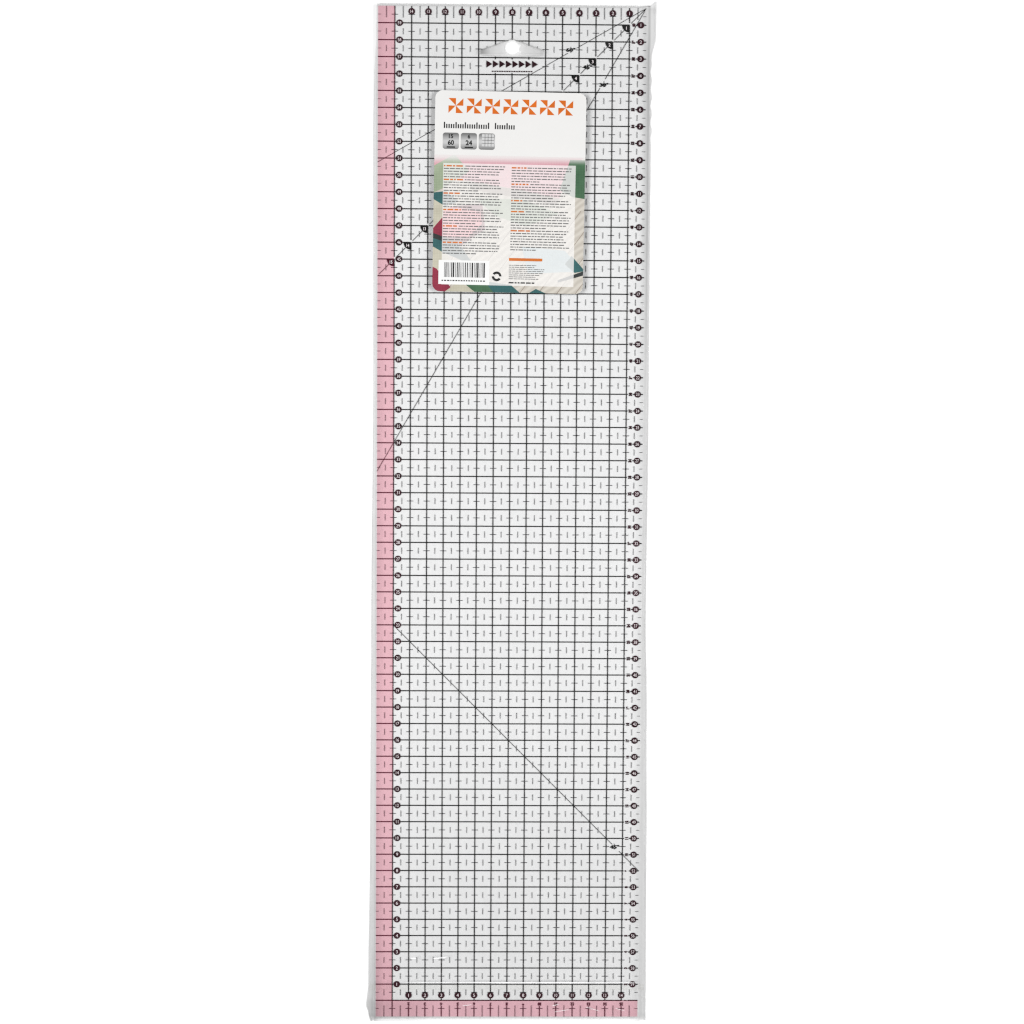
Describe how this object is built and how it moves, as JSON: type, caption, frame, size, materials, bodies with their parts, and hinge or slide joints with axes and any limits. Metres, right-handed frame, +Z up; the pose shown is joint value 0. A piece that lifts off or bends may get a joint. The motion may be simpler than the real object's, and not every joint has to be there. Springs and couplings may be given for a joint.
{
  "type": "quilting ruler",
  "caption": "Clear acrylic patchwork ruler with a printed centimetre grid, angle lines and a hang slot, in a clear film sleeve with a paper label.",
  "frame": {"origin": "centre of the underside of the packed ruler, as it lies on a table", "axes": "+Y along the ruler towards the hang slot, +X across it away from the pink seam strip, +Z up through the printed face's front"},
  "size_m": [0.17, 0.6136, 0.0036],
  "materials": {
    "clear_acrylic": "clear polished acrylic, slightly grey, with bright sawn edges",
    "pink_ink": "translucent pink screen print",
    "black_ink": "opaque black screen print",
    "grey_ink": "fine dark grey screen print",
    "maroon_ink": "opaque dark maroon screen print",
    "clear_film": "thin clear polypropylene film, glossy, lightly wrinkled",
    "clear_glue": "clear pressure-sensitive glue, faintly cloudy",
    "label_paper": "coated white paper label with a semi-gloss printed face"
  },
  "bodies": {
    "ruler": {"acrylic_blank": "clear_acrylic", "seam_allowance_tint": "pink_ink", "lengthwise_grid_lines": "black_ink", "crosswise_grid_lines": "black_ink", "edge_half_centimetre_ticks": "grey_ink", "angle_guide_lines": "black_ink", "top_number_discs": "maroon_ink", "bottom_number_discs": "maroon_ink", "left_number_discs": "maroon_ink", "right_number_discs": "maroon_ink", "diagonal_number_flags": "black_ink"},
    "sleeve": {"sleeve_front_ply": "clear_film", "sleeve_back_ply": "clear_film", "sleeve_left_side": "clear_film", "sleeve_right_side": "clear_film", "sleeve_closed_end": "clear_film", "left_side_weld": "clear_film", "right_side_weld": "clear_film", "closed_end_weld": "clear_film", "label_glue": "clear_glue", "label_paper": "label_paper"},
    "flap": {"closing_flap": "clear_film", "flap_glue_strip": "clear_glue"}
  },
  "joints": [
    {"name": "sleeve_slide", "type": "slide", "parent": "ruler", "child": "sleeve", "axis": [0, 1, 0], "range_m": [0, 0.62]},
    {"name": "flap_fold", "type": "hinge", "parent": "sleeve", "child": "flap", "pos_m": [0, -0.3068, 0.00008], "axis": [-1, 0, 0], "range_deg": [0, 180]}
  ]
}
